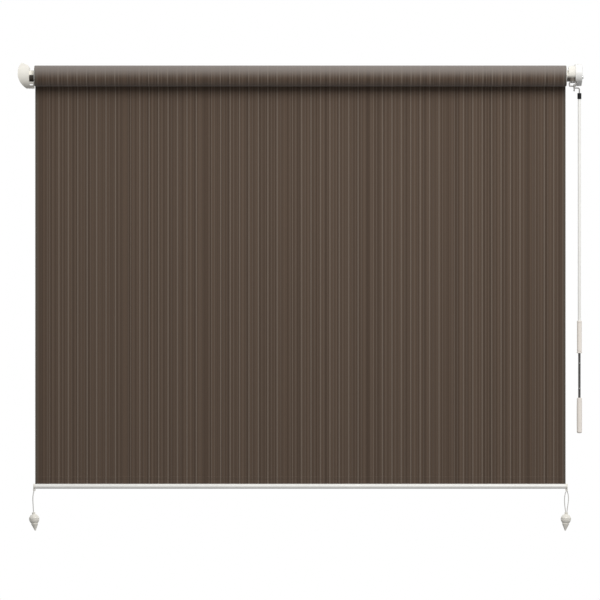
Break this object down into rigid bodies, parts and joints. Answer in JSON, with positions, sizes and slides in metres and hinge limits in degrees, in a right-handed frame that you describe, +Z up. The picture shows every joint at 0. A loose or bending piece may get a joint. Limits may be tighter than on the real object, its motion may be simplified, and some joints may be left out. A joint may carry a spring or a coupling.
{
  "type": "crank roller shade",
  "caption": "Outdoor roller shade with striped brown cloth, cream brackets, white rail, hanging weights and a jointed crank wand.",
  "frame": {"origin": "on the wall plane, midway between the brackets' four screw holes, at the height of the roller's axis", "axes": "+X along the roller to the right, +Y into the wall, +Z up; the room side faces -Y"},
  "size_m": [1.9455, 0.0944, 1.6123],
  "materials": {
    "cream_plastic": "satin",
    "shade_cloth": "matte",
    "cream_paint": "satin",
    "tube_metal": "satin",
    "inner_plastic": "matte",
    "bright_steel": "satin",
    "grey_wire": "satin",
    "black_plastic": "satin",
    "dark_paint": "satin",
    "cord": "matte"
  },
  "bodies": {
    "root": {"left_wall_plate": "cream_paint", "idler_pin": "bright_steel", "idler_nut": "bright_steel", "idler_clip": "bright_steel", "left_hub": "cream_plastic", "left_bracket_cover": "cream_plastic", "left_cover_screw": "bright_steel", "right_wall_plate": "cream_paint", "gear_housing": "cream_plastic", "gear_lid": "cream_plastic", "gear_screws": "bright_steel", "output_bushing": "inner_plastic", "worm_bushing": "inner_plastic", "right_bracket_cover": "cream_plastic", "right_cover_screw": "bright_steel", "hanging_cloth": "shade_cloth"},
    "roller": {"roller_tube": "tube_metal", "cloth_key_strip": "inner_plastic", "wound_cloth": "shade_cloth", "idler_plug": "inner_plastic", "idler_bushing": "inner_plastic", "drive_plug": "inner_plastic", "drive_shaft": "bright_steel", "worm_wheel": "inner_plastic"},
    "rail": {"bottom_rail": "cream_paint", "left_rail_cap": "cream_plastic", "right_rail_cap": "cream_plastic", "cloth_hem": "shade_cloth", "hem_bead": "inner_plastic"},
    "crank": {"worm_shaft": "bright_steel", "drive_eye": "grey_wire", "wand_hook": "grey_wire", "hook_ferrule": "black_plastic", "wand_pole": "cream_paint", "upper_collar": "cream_plastic", "lower_collar": "cream_plastic", "upper_fork": "dark_paint", "elbow_pin": "bright_steel"},
    "upper_grip": {"upper_grip": "cream_plastic"},
    "arm": {"crank_arm": "dark_paint", "knuckle_pin": "bright_steel"},
    "handle": {"handle_knuckle": "dark_paint", "handle_rod": "bright_steel", "grip_retainer": "bright_steel"},
    "lower_grip": {"lower_grip": "cream_plastic"},
    "left_hold_down": {"left_cord": "cord", "left_weight_cap": "cream_plastic", "left_weight_tip": "cream_plastic"},
    "right_hold_down": {"right_cord": "cord", "right_weight_cap": "cream_plastic", "right_weight_tip": "cream_plastic"}
  },
  "joints": [
    {"name": "roller_turn", "type": "hinge", "parent": "root", "child": "roller", "pos_m": [0, -0.055, 0], "axis": [1, 0, 0], "range_deg": [0, 2070]},
    {"name": "rail_lift", "type": "slide", "parent": "root", "child": "rail", "axis": [0, 0, 1], "range_m": [0, 1.2934], "deforming": ["hanging_cloth"]},
    {"name": "crank_turn", "type": "hinge", "parent": "root", "child": "crank", "pos_m": [0.9362, -0.074, 0], "axis": [0, 0, 1], "range_deg": [0, 24840]},
    {"name": "upper_grip_spin", "type": "hinge", "parent": "crank", "child": "upper_grip", "pos_m": [0.9595, -0.074, -0.8985], "axis": [0, 0, 1], "continuous": true},
    {"name": "arm_elbow", "type": "hinge", "parent": "crank", "child": "arm", "pos_m": [0.9595, -0.074, -0.988], "axis": [0, -1, 0], "range_deg": [0, 90]},
    {"name": "handle_elbow", "type": "hinge", "parent": "arm", "child": "handle", "pos_m": [0.9595, -0.074, -1.0752], "axis": [0, 1, 0], "range_deg": [0, 90]},
    {"name": "lower_grip_spin", "type": "hinge", "parent": "handle", "child": "lower_grip", "pos_m": [0.9595, -0.074, -1.168], "axis": [0, 0, 1], "continuous": true},
    {"name": "left_hold_down_swing", "type": "hinge", "parent": "rail", "child": "left_hold_down", "pos_m": [-0.918, -0.01909, -1.426], "axis": [0, 1, 0], "range_deg": [-45, 45]},
    {"name": "right_hold_down_swing", "type": "hinge", "parent": "rail", "child": "right_hold_down", "pos_m": [0.918, -0.01909, -1.426], "axis": [0, 1, 0], "range_deg": [-45, 45]}
  ],
  "couplings": [
    {"joint": "rail_lift", "follows": "roller_turn", "m_per_rad": 0.0358},
    {"joint": "crank_turn", "follows": "roller_turn", "ratio": 12}
  ]
}
